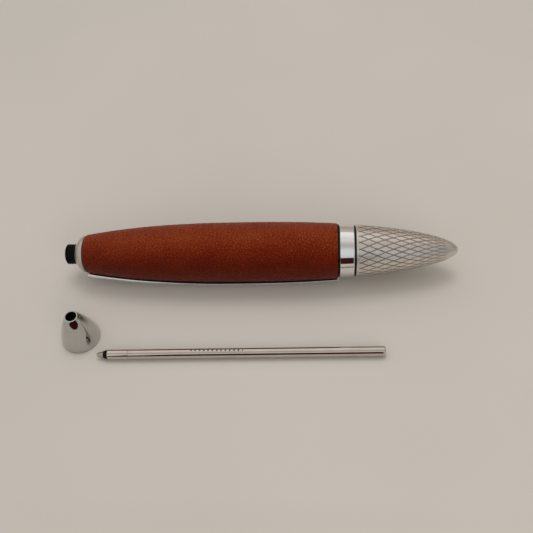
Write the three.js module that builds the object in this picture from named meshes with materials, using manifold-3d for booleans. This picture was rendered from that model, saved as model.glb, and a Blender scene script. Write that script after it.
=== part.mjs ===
// A short leather-covered ballpoint pen, opened to change its refill: the barrel lies on its side, the nose
// cone stands on its wide end in front of it, and the refill lies beside them. Millimetres, +Z up.
// The pen's axis runs along X, from the threaded stub (-X) to the engraved tail (+X), and along it x = 0 is
// the front edge of the leather. Turning the tail drives the refill carrier forwards through a cam sleeve.

import * as THREE from "three";
import { mergeVertices } from "three/addons/utils/BufferGeometryUtils.js";
import Module from "manifold-3d";

const wasm = await Module();
wasm.setup();

// ---- Driving dimensions -------------------------------------------------------------------------------

const SIDES = 32; // facets round the large turned parts
const FINE_SIDES = 20; // facets round the mechanism's parts
const SMALL_SIDES = 12; // facets round the refill's parts

// Leather sleeve: a barrel shape, widest at bellyX
const leather = {
  length: 61.75,
  bellyX: 39,
  bellyRadius: 7.3,
  frontRadius: 4.74,
  rearRadius: 6.69,
  fullness: 2.5,
  thickness: 0.95,
  edgeRound: 0.3,
};
const glueGap = 0.05;
const fit = 0.05; // clearance between parts that are pressed or screwed together

// Front end: threaded stub and domed collar
const stub = { front: -5.1, frontRadius: 2.1, radius: 2.5, rootRadius: 2.24, bore: 1.32 };
const thread = { start: -4.85, turns: 4, pitch: 0.58, crest: 0.2, flank: 0.14, root: 0.1 };
const collar = {
  front: -2.45,
  rear: -0.15,
  radius: 4.52,
  frontRadius: 2.75,
  domeRadius: 0.85,
  land: 0.5,
  neckRadius: 3.6,
  neckRear: 0.35,
};
const shankRadius = 2.36;
const plug = { radius: 3.2, rear: 9 };

// Barrel core, and the tube inside it that steers the refill
const core = {
  front: 0.4,
  throatRear: 10,
  boreFront: 24,
  shoulder: 61.65,
  rear: 65.5,
  throat: 3.26,
  bore: 5.05,
  spigotRadius: 5.5,
};
const guide = { front: 9.2, rear: 49.4, bore: 1.45, radius: 2.3, discRadius: 4.95, discWidth: 1 };

// Rings between the leather and the tail
const clipRing = { front: 61.8, rear: 62.12, radius: 6.42 };
const band = { front: 62.17, rear: 65.72, frontRadius: 6.48, rearRadius: 6.34, bevel: 0.25 };
const tailRing = { front: 65.77, rear: 66.03, radius: 6.16, bore: 3.85 };

// Tail: an ogive, r = baseRadius * (1 - t^1.3)^0.5
const tail = {
  front: 66.08,
  tip: 90.5,
  baseRadius: 6.3,
  sharpness: 1.3,
  wall: 0.95,
  bore: 5.05,
  boreRear: 71.1,
  hollowRear: 87.6,
};

// Twist mechanism, and the parts that hold it
const nut = { front: 55.5, rear: 61.5 };
const bearing = { front: 61.6, rear: 65.45 };
const bush = { front: 66.4, rear: 71 };
const twist = { angle: 150, travel: 4.5, pinX: 73, pinRadius: 0.5, slotClearance: 0.13 };
const housing = { front: 54.6, rear: 79.2, radius: 2.95, bore: 2.36 };
const carrier = { front: 54.4, rear: 74.4, radius: 2.2, socketRadius: 1.22, socketDepth: 4.1 };
const cam = { front: 61.9, flangeRear: 65.65, rear: 78.1, bore: 3.1, radius: 3.75, flangeRadius: 4.2 };
const ringGroove = { front: 63.2, rear: 64.1, root: 3.55 };
const clipGroove = { front: 78.25, rear: 78.75, root: 2.62, clipRadius: 3.55 };

// Pocket clip: a slim bar that follows the barrel, on the side turned down and towards -Y
const clip = {
  front: -0.05,
  rootX: 61.96,
  legThickness: 0.32,
  legInner: 5.65,
  width: 3,
  fromDown: 41,
  thickness: { front: 0.85, middle: 0.6, rear: 0.46 },
  gap: { front: 0.08, middle: 0.36, rear: 0.14 },
};

// Turn about X that takes +Y to the clip's side of the barrel
const clipAngle = THREE.MathUtils.degToRad(-90 - clip.fromDown);

// Loose parts in front of the barrel, placed from x = 0 on the pen's axis
const nose = {
  x: 0.25,
  y: -19.6,
  height: 9.05,
  baseRadius: 4.62,
  tipRadius: 1.55,
  bulge: 1.5,
  mouth: 4.05,
  throat: 2.1,
  tipHole: 1.3,
  tipHoleBottom: 8.3,
};
const insert = { bottom: 1.5, top: 4.6, radius: 2.95, bore: 2.58 };
const refill = { x: 5.24, y: -25.17, yaw: 0.74, length: 67, radius: 1.175, wall: 0.2 };

// ---- Materials ----------------------------------------------------------------------------------------

function finish(color, metalness, roughness) {
  return new THREE.MeshStandardMaterial({ color, metalness, roughness });
}

const materials = {
  leather: () => finish(0x7a3420, 0, 0.62),
  chrome: () => finish(0xc9c9cb, 1, 0.12),
  satin: () => finish(0xa9a49e, 1, 0.35),
  brass: () => finish(0xb5964f, 1, 0.3),
  steel: () => finish(0xb9b6b0, 1, 0.28),
  nickel: () => finish(0xc7bfb2, 1, 0.25),
  black: () => finish(0x161616, 0, 0.45),
  white: () => finish(0xd8d6d0, 0, 0.5),
  rubber: () => finish(0x1a1a1a, 0, 0.8),
  ink: () => finish(0x10152e, 0, 0.4),
};

// ---- Curves -------------------------------------------------------------------------------------------

// Outer radius of the leather at x
function leatherRadius(x) {
  const ahead = x < leather.bellyX;
  const span = ahead ? leather.bellyX : leather.length - leather.bellyX;
  const endRadius = ahead ? leather.frontRadius : leather.rearRadius;
  const t = Math.abs(x - leather.bellyX) / span;
  return leather.bellyRadius - (leather.bellyRadius - endRadius) * t ** leather.fullness;
}

// Outer radius of the tail at x
function tailRadius(x) {
  const t = THREE.MathUtils.clamp((x - tail.front) / (tail.tip - tail.front), 0, 1);
  return tail.baseRadius * Math.sqrt(1 - t ** tail.sharpness);
}

// Outer radius of the nose cone at height h above its base
function noseRadius(h) {
  return nose.baseRadius - (nose.baseRadius - nose.tipRadius) * (h / nose.height) ** nose.bulge;
}

// count + 1 values from a to b, both included
function steps(a, b, count) {
  return Array.from({ length: count + 1 }, (_, i) => a + ((b - a) * i) / count);
}

// Points of an arc in the (x, r) plane, angles in degrees from +x towards +r
function arc(x, r, radius, from, to, count) {
  return steps(from, to, count).map((degrees) => {
    const a = THREE.MathUtils.degToRad(degrees);
    return [x + radius * Math.cos(a), r + radius * Math.sin(a)];
  });
}

// ---- Solids -------------------------------------------------------------------------------------------

// A body of revolution about Z from [z, r] points: the outside in rising z, then the bore on the way back.
// A profile that doesn't touch the axis is closed on itself.
function lathed(profile, sides) {
  const points = profile.map(([z, r]) => new THREE.Vector2(r, z));
  if (points[0].x > 0) points.push(points[0].clone());
  return new THREE.LatheGeometry(points, sides).rotateX(Math.PI / 2);
}

// The same about X, from [x, r] points
function turned(profile, sides = SIDES) {
  return lathed(profile, sides).rotateY(Math.PI / 2);
}

// A plain ring about X
function ring(front, rear, bore, radius, sides = SIDES) {
  return turned([[front, radius], [rear, radius], [rear, bore], [front, bore]], sides);
}

// A flat outline extruded by depth along its own Z
function extruded(outline, depth) {
  const shape = new THREE.Shape(outline.map(([u, v]) => new THREE.Vector2(u, v)));
  return new THREE.ExtrudeGeometry(shape, { depth, bevelEnabled: false, steps: 1 });
}

function toSolid(geometry) {
  const bare = geometry.index ? geometry.toNonIndexed() : geometry.clone();
  bare.deleteAttribute("normal");
  bare.deleteAttribute("uv");
  const merged = mergeVertices(bare, 1e-4);
  const vertProperties = merged.attributes.position.array;
  const triVerts = new Uint32Array(merged.index.array);
  return new wasm.Manifold(new wasm.Mesh({ numProp: 3, vertProperties, triVerts }));
}

// The first geometry with each of the others cut away from it
function cut(geometry, ...tools) {
  const solid = tools.reduce((left, tool) => left.subtract(toSolid(tool)), toSolid(geometry));
  const { numProp, vertProperties, triVerts } = solid.getMesh();
  const position = new Float32Array((vertProperties.length / numProp) * 3);
  for (let i = 0; i < position.length / 3; i++)
    position.set(vertProperties.subarray(i * numProp, i * numProp + 3), i * 3);
  const result = new THREE.BufferGeometry();
  result.setAttribute("position", new THREE.BufferAttribute(position, 3));
  result.setIndex(new THREE.BufferAttribute(triVerts, 1));
  result.computeVertexNormals();
  return result;
}

// A key that follows a helix about X, from the given side (degrees from +Y towards +Z) backwards through the
// twist's angle while it travels forwards. It reaches from radius r0 out to r1, is twice halfWidth wide
// along X, and runs on past both ends by the share extra of the twist.
function helicalKey(startDegrees, halfWidth, r0, r1, extra) {
  const count = 14;
  const positions = [];
  for (const t of steps(-extra, 1 + extra, count)) {
    const a = THREE.MathUtils.degToRad(startDegrees - t * twist.angle);
    const x = twist.pinX - THREE.MathUtils.clamp(t, 0, 1) * twist.travel;
    for (const [dx, r] of [[-halfWidth, r0], [halfWidth, r0], [halfWidth, r1], [-halfWidth, r1]])
      positions.push(x + dx, r * Math.cos(a), r * Math.sin(a));
  }
  const index = [0, 1, 2, 0, 2, 3];
  for (let i = 0; i < count; i++)
    for (let k = 0; k < 4; k++) {
      const [a, b] = [4 * i + k, 4 * i + ((k + 1) % 4)];
      index.push(a, a + 4, b, b, a + 4, b + 4);
    }
  const last = 4 * count;
  index.push(last, last + 2, last + 1, last, last + 3, last + 2);
  const key = new THREE.BufferGeometry();
  key.setAttribute("position", new THREE.Float32BufferAttribute(positions, 3));
  key.setIndex(index);
  return key;
}

function box(x0, x1, y0, y1, z0, z1) {
  const geometry = new THREE.BoxGeometry(x1 - x0, y1 - y0, z1 - z0);
  return geometry.translate((x0 + x1) / 2, (y0 + y1) / 2, (z0 + z1) / 2);
}

// A cylinder along Z, centred on the pen's axis at x
function crossPin(x, radius, halfLength, sides) {
  return new THREE.CylinderGeometry(radius, radius, 2 * halfLength, sides)
    .rotateX(Math.PI / 2)
    .translate(x, 0, 0);
}

function part(name, geometry, material) {
  const mesh = new THREE.Mesh(geometry, material());
  mesh.name = name;
  return mesh;
}

// ---- Barrel -------------------------------------------------------------------------------------------

// Black stub whose thread the nose cone screws onto, with its shank and the plug that sits in the core
function frontBush() {
  const { start, turns, pitch, crest, flank, root } = thread;
  const ridges = steps(start, start + (turns - 1) * pitch, turns - 1).flatMap((x) => [
    [x, stub.radius],
    [x + crest, stub.radius],
    [x + crest + flank, stub.rootRadius],
    [x + crest + flank + root, stub.rootRadius],
  ]);
  const funnel = { length: 0.8, depth: 0.6 };
  const profile = [
    [stub.front, stub.frontRadius],
    ...ridges,
    [collar.front - fit, shankRadius],
    [core.front + fit, shankRadius],
    [core.front + fit, plug.radius],
    [plug.rear, plug.radius],
    [plug.rear, stub.bore + funnel.depth],
    [plug.rear - funnel.length, stub.bore],
    [stub.front, stub.bore],
  ];
  return part("front_bush", turned(profile, FINE_SIDES), materials.black);
}

// Domed ring between the stub and the leather, with a thinner neck that leaves the dark line behind it
function frontCollar() {
  const { domeRadius, land } = collar;
  const dome = arc(collar.rear - land, collar.radius - domeRadius, domeRadius, 150, 90, 4);
  const profile = [
    [collar.front, collar.frontRadius],
    ...dome,
    [collar.rear, collar.radius],
    [collar.rear, collar.neckRadius],
    [collar.neckRear, collar.neckRadius],
    [collar.neckRear, shankRadius + fit],
    [collar.front, shankRadius + fit],
  ];
  return part("front_collar", turned(profile), materials.satin);
}

// Where the leather's inside and the core's outside are both sampled, so that they stay parallel
const liningStations = steps(0, leather.length, 7);

// Brass core that the leather is glued round; its rear spigot carries the rings
function barrelTube() {
  const stations = [core.front, ...liningStations.slice(1, -1), core.shoulder];
  const outside = stations.map((x) => [x, leatherRadius(x) - leather.thickness - glueGap]);
  const profile = [
    ...outside,
    [core.shoulder, core.spigotRadius],
    [core.rear, core.spigotRadius],
    [core.rear, core.bore],
    [core.boreFront, core.bore],
    [core.throatRear, core.throat],
    [core.front, core.throat],
  ];
  return part("barrel_tube", turned(profile), materials.brass);
}

// Leather sleeve with rounded, turned edges
function leatherSleeve() {
  const { length, edgeRound } = leather;
  const outside = steps(2.5 * edgeRound, length - edgeRound, 9).map((x) => [x, leatherRadius(x)]);
  const inside = liningStations.map((x) => [x, leatherRadius(x) - leather.thickness]).reverse();
  const profile = [
    [0, leatherRadius(0) - edgeRound],
    [edgeRound, leatherRadius(0)],
    ...outside,
    [length, leatherRadius(length) - edgeRound],
    ...inside,
  ];
  return part("leather_sleeve", turned(profile), materials.leather);
}

// Moulded tube with locating discs that steers the refill through the core
function refillGuide() {
  const { front, rear, bore, radius, discRadius, discWidth } = guide;
  const discs = steps(26, rear - discWidth, 2).flatMap((x) => [
    [x, radius],
    [x, discRadius],
    [x + discWidth, discRadius],
    [x + discWidth, radius],
  ]);
  const funnel = 0.5;
  const profile = [
    [front, radius],
    ...discs.slice(0, -1),
    [rear, bore + funnel],
    [rear - 2 * funnel, bore],
    [front, bore],
  ];
  return part("refill_guide", turned(profile, FINE_SIDES), materials.white);
}

// Black spacer between the leather and the band, notched for the clip's leg
function clipRingSpacer() {
  const { front, rear, radius } = clipRing;
  const spacer = ring(front, rear, core.spigotRadius + fit, radius);
  const halfWidth = clip.width / 2 + 3 * fit;
  const notch = box(front - 1, rear + 1, core.spigotRadius - 1, radius + 1, -halfWidth, halfWidth);
  return part("clip_ring", cut(spacer, notch.rotateX(clipAngle)), materials.black);
}

function centerBand() {
  const { front, rear, frontRadius, rearRadius, bevel } = band;
  const profile = [
    [front, frontRadius - bevel],
    [front + bevel, frontRadius],
    [rear - bevel, rearRadius],
    [rear, rearRadius - bevel],
    [rear, core.spigotRadius + fit],
    [front, core.spigotRadius + fit],
  ];
  return part("center_band", turned(profile), materials.chrome);
}

// Black ring at the joint where the tail turns
function tailWasher() {
  const washer = ring(tailRing.front, tailRing.rear, tailRing.bore, tailRing.radius);
  return part("tail_washer", washer, materials.black);
}

// Brass nut that holds the mechanism in the core
function mechanismNut() {
  const tube = ring(nut.front, nut.rear, housing.radius + fit, core.bore - fit);
  return part("mechanism_nut", tube, materials.brass);
}

// Plain bearing for the cam sleeve's flange
function rearBush() {
  const tube = ring(bearing.front, bearing.rear, cam.flangeRadius + 2 * fit, core.bore - fit);
  return part("rear_bush", tube, materials.steel);
}

// Fixed tube with a straight slot on each side, which keeps the carrier from turning
function mechanismHousing() {
  const tube = turned(
    [
      [housing.front, housing.radius],
      [clipGroove.front, housing.radius],
      [clipGroove.front, clipGroove.root],
      [clipGroove.rear, clipGroove.root],
      [clipGroove.rear, housing.radius],
      [housing.rear, housing.radius],
      [housing.rear, housing.bore],
      [housing.front, housing.bore],
    ],
    FINE_SIDES,
  );
  const halfWidth = twist.pinRadius + twist.slotClearance;
  const [slotFront, slotRear] = [twist.pinX - twist.travel - 0.7, twist.pinX + 0.7];
  const slot = box(slotFront, slotRear, -halfWidth, halfWidth, -housing.radius - 1, housing.radius + 1);
  return part("mechanism_housing", cut(tube, slot), materials.brass);
}

// Open spring ring in the housing's groove, which keeps the cam sleeve on
function retainingClip() {
  const [opening, count] = [35, 10];
  const rim = arc(0, 0, clipGroove.clipRadius, opening, 360 - opening, count);
  const seat = arc(0, 0, clipGroove.root + 0.13, 360 - opening, opening, count);
  const thickness = clipGroove.rear - clipGroove.front - 2 * fit;
  const geometry = extruded([...rim, ...seat], thickness)
    .rotateY(Math.PI / 2)
    .translate(clipGroove.front + fit, 0, 0);
  return part("retaining_clip", geometry, materials.steel);
}

// O-ring in the cam sleeve's groove, which gives the twist its feel
function frictionRing() {
  const section = 0.34;
  const centre = (ringGroove.root + cam.flangeRadius + 2 * fit) / 2;
  const torus = new THREE.TorusGeometry(centre, section, 6, FINE_SIDES);
  torus.rotateY(Math.PI / 2).translate((ringGroove.front + ringGroove.rear) / 2, 0, 0);
  return part("friction_oring", torus, materials.rubber);
}

// ---- Tail ---------------------------------------------------------------------------------------------

// Hollow ogive: the bore holds the bush, and the hollow behind it follows the outside
function tailShell() {
  const edge = 0.2;
  const outside = steps(0, 1, 9).map((s) => {
    const x = tail.front + edge + (tail.tip - tail.front - edge) * Math.sin((s * Math.PI) / 2);
    return [x, tailRadius(x)];
  });
  const hollow = steps(tail.hollowRear - 1.6, tail.boreRear + fit, 4);
  const inside = hollow.map((x) => [x, tailRadius(x) - tail.wall]);
  const profile = [
    [tail.hollowRear, 0],
    ...inside,
    [tail.boreRear, tail.bore],
    [tail.front, tail.bore],
    [tail.front, tail.baseRadius - edge],
    ...outside,
  ];
  return part("tail_shell", turned(profile), materials.chrome);
}

// Brass bush pressed in the tail, which takes the cam sleeve
function tailBush() {
  const tube = ring(bush.front, bush.rear, cam.radius + fit, tail.bore - fit);
  return part("tail_bush", tube, materials.brass);
}

// Sleeve with two helical slots: as the tail turns, they push the cross pin along the housing
function camSleeve() {
  const sleeve = turned(
    [
      [cam.front, cam.flangeRadius],
      [ringGroove.front, cam.flangeRadius],
      [ringGroove.front, ringGroove.root],
      [ringGroove.rear, ringGroove.root],
      [ringGroove.rear, cam.flangeRadius],
      [cam.flangeRear, cam.flangeRadius],
      [cam.flangeRear, cam.radius],
      [cam.rear, cam.radius],
      [cam.rear, cam.bore],
      [cam.front, cam.bore],
    ],
    FINE_SIDES,
  );
  const slope = twist.travel / (THREE.MathUtils.degToRad(twist.angle) * cam.radius);
  const halfWidth = (twist.pinRadius + twist.slotClearance) * Math.hypot(1, slope);
  const [inner, outer] = [cam.bore - 0.4, cam.radius + 0.65];
  const keys = [90, 270].map((start) => helicalKey(start, halfWidth, inner, outer, 0.09));
  return part("cam_sleeve", cut(sleeve, ...keys), materials.brass);
}

// ---- Carrier ------------------------------------------------------------------------------------------

// Plastic plunger with a socket for the refill's end, crossed by the pin
function refillCarrier() {
  const { front, rear, radius, socketRadius, socketDepth } = carrier;
  const chamfer = 0.4;
  const body = turned(
    [
      [front + socketDepth, 0],
      [front + socketDepth, socketRadius],
      [front + chamfer, socketRadius],
      [front, socketRadius + chamfer],
      [front, radius - chamfer / 2],
      [front + chamfer, radius],
      [rear, radius],
      [rear, 0],
    ],
    FINE_SIDES,
  );
  const hole = crossPin(twist.pinX, twist.pinRadius + fit, radius + 1, SMALL_SIDES);
  return part("refill_carrier", cut(body, hole), materials.white);
}

function camPin() {
  const pin = crossPin(twist.pinX, twist.pinRadius, cam.radius - 2 * fit, SMALL_SIDES);
  return part("cam_pin", pin, materials.steel);
}

// ---- Clip ---------------------------------------------------------------------------------------------

// A measure of the clip at x, from its values at the front, the middle and the root
function alongClip({ front, middle, rear }, x) {
  const t = (2 * (x - clip.front)) / (clip.rootX - clip.front);
  return t < 1 ? front + (middle - front) * t : middle + (rear - middle) * (t - 1);
}

// A bar that bows with the barrel, closer to it at both ends, with a leg into the notched ring
function pocketClip() {
  const legFront = clip.rootX - clip.legThickness / 2;
  const legRear = clip.rootX + clip.legThickness / 2;
  const inner = (x) => leatherRadius(Math.min(x, leather.length)) + alongClip(clip.gap, x);
  const outer = (x) => inner(x) + alongClip(clip.thickness, x);
  const under = steps(clip.front, legFront, 11).map((x) => [x, inner(x)]);
  const corner = 0.3;
  const over = steps(legRear - corner, clip.front + corner, 11).map((x) => [x, outer(x)]);
  const outline = [
    ...under,
    [legFront, clip.legInner],
    [legRear, clip.legInner],
    [legRear, outer(legRear) - corner],
    ...over,
    [clip.front, outer(clip.front) - corner],
  ];
  const bar = part("pocket_clip", extruded(outline, clip.width), materials.chrome);
  bar.position.z = -clip.width / 2;
  const side = new THREE.Group();
  side.rotation.x = clipAngle;
  side.add(bar);
  return side;
}

// ---- Nose cone ----------------------------------------------------------------------------------------

// Hollow cone: a wide mouth over the collar, the seat of the threaded insert, and a throat up to the tip
function noseCone() {
  const edge = 0.1;
  const outside = steps(edge, nose.height - edge, 7).map((h) => [h, noseRadius(h)]);
  const seatTop = insert.top + 2 * fit;
  const profile = [
    [0, nose.baseRadius - edge],
    ...outside,
    [nose.height, nose.tipRadius - edge],
    [nose.height, nose.tipHole],
    [nose.tipHoleBottom, nose.tipHole],
    [seatTop, nose.throat],
    [seatTop, insert.radius + fit],
    [insert.bottom, insert.radius + fit],
    [0.6, nose.mouth - fit],
    [0, nose.mouth],
  ];
  return part("nose_cone", lathed(profile, SIDES), materials.chrome);
}

// Brass ring pressed in the nose cone, with the thread that fits the stub
function noseInsert() {
  const { bottom, top, radius, bore } = insert;
  const chamfer = 0.15;
  const profile = [
    [bottom + fit, radius - chamfer],
    [bottom + fit + chamfer, radius],
    [top, radius],
    [top, bore],
    [bottom + fit + chamfer, bore],
    [bottom + fit, bore + chamfer],
  ];
  return part("nose_insert", lathed(profile, FINE_SIDES), materials.brass);
}

// ---- Refill, from its point (x = 0) to its closed end --------------------------------------------------

const ball = { x: 0.36, radius: 0.34 };
const point = { front: 0.22, tipRadius: 0.38, shoulder: 1.75, shoulderRadius: 0.8, shank: 0.7, rear: 4.6 };
const adapter = { front: 1.8, rear: 2.75, frontRadius: 0.84 };
const frontSleeve = { front: 2.78, rear: 7.6, spigotRear: 9.4 };
const inkTube = { front: 7.63, crimp: 0.45, vent: 0.3, ventLength: 0.4 };
const bareBore = refill.radius - refill.wall;

// Metal point with the ball's socket and the ink channel behind it
function refillPoint() {
  const socket = ball.radius + 0.03;
  const channel = 0.25;
  const socketRear = ball.x + ball.radius + fit;
  const profile = [
    [point.front, point.tipRadius],
    [0.6, point.tipRadius + 0.14],
    [point.shoulder, point.shoulderRadius],
    [point.shoulder, point.shank],
    [point.rear, point.shank],
    [point.rear, channel],
    [socketRear + fit, channel],
    [socketRear, socket],
    [point.front, socket - 0.02],
  ];
  return part("refill_point", turned(profile, SMALL_SIDES), materials.nickel);
}

function refillBall() {
  const sphere = new THREE.SphereGeometry(ball.radius, SMALL_SIDES, SMALL_SIDES / 2).translate(ball.x, 0, 0);
  return part("refill_ball", sphere, materials.steel);
}

// Black cone between the point and the sleeve
function refillAdapter() {
  const profile = [
    [adapter.front, adapter.frontRadius],
    [adapter.rear, refill.radius - 0.02],
    [adapter.rear, point.shank + fit],
    [adapter.front, point.shank + fit],
  ];
  return part("refill_adapter", turned(profile, SMALL_SIDES), materials.black);
}

// Front sleeve, with a spigot that the ink tube is pressed onto
function refillSleeve() {
  const { front, rear, spigotRear } = frontSleeve;
  const profile = [
    [front, refill.radius],
    [rear, refill.radius],
    [rear, bareBore - fit],
    [spigotRear, bareBore - fit],
    [spigotRear, point.shank + fit],
    [front, point.shank + fit],
  ];
  return part("refill_sleeve", turned(profile, SMALL_SIDES), materials.nickel);
}

// Ink tube, crimped to a small vent at its rear end
function refillTube() {
  const { front, crimp, vent, ventLength } = inkTube;
  const rear = refill.length;
  const profile = [
    [front, refill.radius],
    [rear - crimp, refill.radius],
    [rear - crimp / 4, refill.radius - crimp / 4],
    [rear, refill.radius - crimp],
    [rear, vent],
    [rear - ventLength, vent],
    [rear - 1.5 * ventLength, bareBore],
    [front, bareBore],
  ];
  return part("refill_tube", turned(profile, SMALL_SIDES), materials.nickel);
}

function refillInk() {
  const [front, rear] = [frontSleeve.spigotRear + 0.2, 56];
  const radius = bareBore - fit;
  const column = new THREE.CylinderGeometry(radius, radius, rear - front, SMALL_SIDES);
  column.rotateZ(Math.PI / 2).translate((front + rear) / 2, 0, 0);
  return part("refill_ink", column, materials.ink);
}

// ---- Assembly -----------------------------------------------------------------------------------------

function penBody() {
  const pen = new THREE.Group();
  pen.position.z = leather.bellyRadius;
  pen.add(frontBush(), frontCollar(), barrelTube(), leatherSleeve(), refillGuide());
  pen.add(clipRingSpacer(), centerBand(), tailWasher(), mechanismNut(), rearBush());
  pen.add(mechanismHousing(), retainingClip(), frictionRing());
  pen.add(tailShell(), tailBush(), camSleeve());
  pen.add(refillCarrier(), camPin(), pocketClip());
  return pen;
}

function looseNose() {
  const group = new THREE.Group();
  group.position.set(nose.x, nose.y, 0);
  group.add(noseCone(), noseInsert());
  return group;
}

function looseRefill() {
  const group = new THREE.Group();
  group.position.set(refill.x, refill.y, refill.radius);
  group.rotation.z = THREE.MathUtils.degToRad(refill.yaw);
  group.add(refillPoint(), refillBall(), refillAdapter(), refillSleeve(), refillTube(), refillInk());
  return group;
}

// The frame's origin is the middle of the object's footprint, on the surface it lies on
const object = new THREE.Group();
object.add(penBody(), looseNose(), looseRefill());
object.updateMatrixWorld(true);
const extent = new THREE.Box3().setFromObject(object, true);
const centre = extent.getCenter(new THREE.Vector3());
object.position.set(-centre.x, -centre.y, -extent.min.z);

export default object;
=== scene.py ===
"""A short leather-covered ballpoint pen, opened to change its refill, on a pale table.

The barrel lies along X, with the nose cone and the refill in front of it. Every piece is built in millimetres
about its own axis and put in place, in metres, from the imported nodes' boxes.
"""

import math

import bmesh
import bpy
from mathutils import Matrix, Vector, noise


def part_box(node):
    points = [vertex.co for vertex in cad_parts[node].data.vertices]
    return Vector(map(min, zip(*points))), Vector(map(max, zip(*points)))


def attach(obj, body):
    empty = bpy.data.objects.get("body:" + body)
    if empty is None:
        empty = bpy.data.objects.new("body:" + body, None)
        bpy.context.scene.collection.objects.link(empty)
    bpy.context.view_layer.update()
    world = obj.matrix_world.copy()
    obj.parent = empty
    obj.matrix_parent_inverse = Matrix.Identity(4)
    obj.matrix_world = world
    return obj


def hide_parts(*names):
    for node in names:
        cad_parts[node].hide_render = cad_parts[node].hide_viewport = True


MM = 0.001
TURN = 2 * math.pi

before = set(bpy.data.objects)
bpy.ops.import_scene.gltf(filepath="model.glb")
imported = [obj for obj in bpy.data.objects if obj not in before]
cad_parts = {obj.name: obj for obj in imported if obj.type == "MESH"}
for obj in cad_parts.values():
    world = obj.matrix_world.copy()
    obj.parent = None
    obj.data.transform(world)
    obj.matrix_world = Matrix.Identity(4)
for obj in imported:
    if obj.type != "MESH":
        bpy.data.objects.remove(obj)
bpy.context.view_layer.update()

# ---- Dimensions, in millimetres ---------------------------------------------------------------------------
# The pen's lie along its axis from the leather's front edge, the nose cone's up from the table, and the
# refill's along it from its tip.

LEATHER = {"length": 61.75, "belly_x": 39, "belly": 7.3, "front": 4.74, "rear": 6.69, "fullness": 2.5}
LEATHER_WALL = 0.95
LEATHER_EDGE = 0.32
LEATHER_FRONT_EDGE = ((0.0, 0.3), (0.03, 0.17), (0.12, 0.06))  # (how far in, how far below the surface)
LEATHER_REAR_EDGE = ((0.1, 0.05), (0.02, 0.15), (0, 0.3))
GRAIN = {"cell": 0.6, "crease": 0.35, "depth": 0.05, "swell": 0.03, "edge": 1.2, "at_edge": 0.35}
FOLDS = ((1.15, 0.3, 0.035), (LEATHER["length"] - 0.9, 0.3, 0.03))  # (x, width, depth)
SEAM = {"width": 0.16, "depth": 0.12}
# Painted light: the leather is painted paler and yellower towards its upper rear side and darker towards its
# lower front, for the light that falls from above and behind. The reach is in millimetres across the axis;
# the tone is how far the colour ramp moves.
PAINTED_LIGHT_REACH = (-6, 8)  # from the pen's lower front to its upper rear
PAINTED_LIGHT_TONE = (-0.185, 0.22)

STUB = {"front": -5.1, "radius": 2.5, "root": 2.2, "shank": 2.36, "bore": 1.32}
THREAD = {"pitch": 0.58, "front": -4.85, "rear": -2.6}
THREAD_FLANK = (0.25, 0.8)  # where it begins and ends, from crest (0) to trough (1)
PLUG = {"front": 0.45, "rear": 9, "radius": 3.2}
COLLAR = {"front": -2.45, "rear": -0.15, "radius": 4.52, "nose": 2.75, "neck": 3.6, "neck_rear": 0.35}

CLIP_RING = {"front": 61.8, "rear": 62.12, "radius": 6.42, "bore": 5.55}
BAND = {"front": 62.17, "rear": 65.72, "front_radius": 6.48, "rear_radius": 6.34, "bore": 5.55}
TAIL_RING = {"front": 65.77, "rear": 66.03, "radius": 6.16, "bore": 3.85}

TAIL = {"front": 66.08, "tip": 90.5, "radius": 6.3, "sharpness": 1.3, "wall": 0.95, "bore": 5.05}
TAIL_INSIDE = {"bore_rear": 71.1, "rear": 87.6}
LOZENGES = {"around": 24, "length": 3.85, "start": 67.05, "phase": -0.39, "half_width": 0.15, "depth": 0.085}
GROOVES_BEGIN = (66.55, 66.9)  # where along the axis the grooves fade in and fade out, and where their painted shade gets lighter
GROOVES_END = (86.2, 88.4)
GROOVE_SHADE_FADE = {"from": 74, "to": 86, "share": 0.3}
GROOVES_SHALLOW = 4  # the tail's radius below which the grooves get shallower

CLIP = {"front": -0.05, "root": 61.96, "leg": 0.32, "leg_inner": 5.65, "width": 3}
CLIP_FROM_DOWN = 41
CLIP_THICKNESS = (0.85, 0.6, 0.46)  # at the front, in the middle and at the root
CLIP_GAP = (0.08, 0.36, 0.14)
CLIP_CLEARANCE = 0.15
CLIP_BEND = {"run": 0.75, "drop": 0.6}
CLIP_END = (  # of the rounded free end: (how far back, share of the thickness, inset of each side)
    (0, 0.7, 0.22),
    (0.04, 0.85, 0.12),
    (0.12, 0.94, 0.05),
    (0.26, 0.98, 0.01),
    (0.5, 1, 0),
)

NOSE = {"height": 9.05, "base": 4.62, "tip": 1.55, "bulge": 1.5, "mouth": 4.05, "throat": 2.1, "hole": 1.3}
# Below the rim, the inside of the bore is painted dark: painted shade.
NOSE_BORE = {"unshaded": 8.9, "bare": 8.85, "land": 8.3, "skirt": 0.6}
INSERT = {"bottom": 1.5, "top": 4.7, "radius": 3.0}

REFILL = {"radius": 1.175, "wall": 0.2, "yaw": 0.74, "length": 67}
POINT = {"front": 0.22, "tip": 0.38, "shoulder": 1.75, "shoulder_radius": 0.8, "shank": 0.7, "rear": 4.6}
ADAPTER = {"front": 1.8, "rear": 2.75, "radius": 0.84}
SLEEVE = {"front": 2.78, "rear": 7.6, "spigot_rear": 9.4}
TUBE_FRONT = 7.63
PRINT = {"front": 21.7, "rear": 34.5, "pitch": 1.0, "low": -0.25, "high": 0.65}
PRINT_EDGE = (0.17, 0.22)  # how far a tick reaches from its middle, and fades out, as shares of the pitch

SHARP_EDGE = math.radians(40)


# ---- Places -----------------------------------------------------------------------------------------------


def centre(node):
    low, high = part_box(node)
    return (low + high) / 2


def pen_place():
    """Takes the pen's millimetres to the frame: x = 0 at the leather's front edge, on the band's axis."""
    axis = centre("center_band")
    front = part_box("leather_sleeve")[0].x
    return Matrix.Translation((front, axis.y, axis.z)) @ Matrix.Scale(MM, 4)


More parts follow.
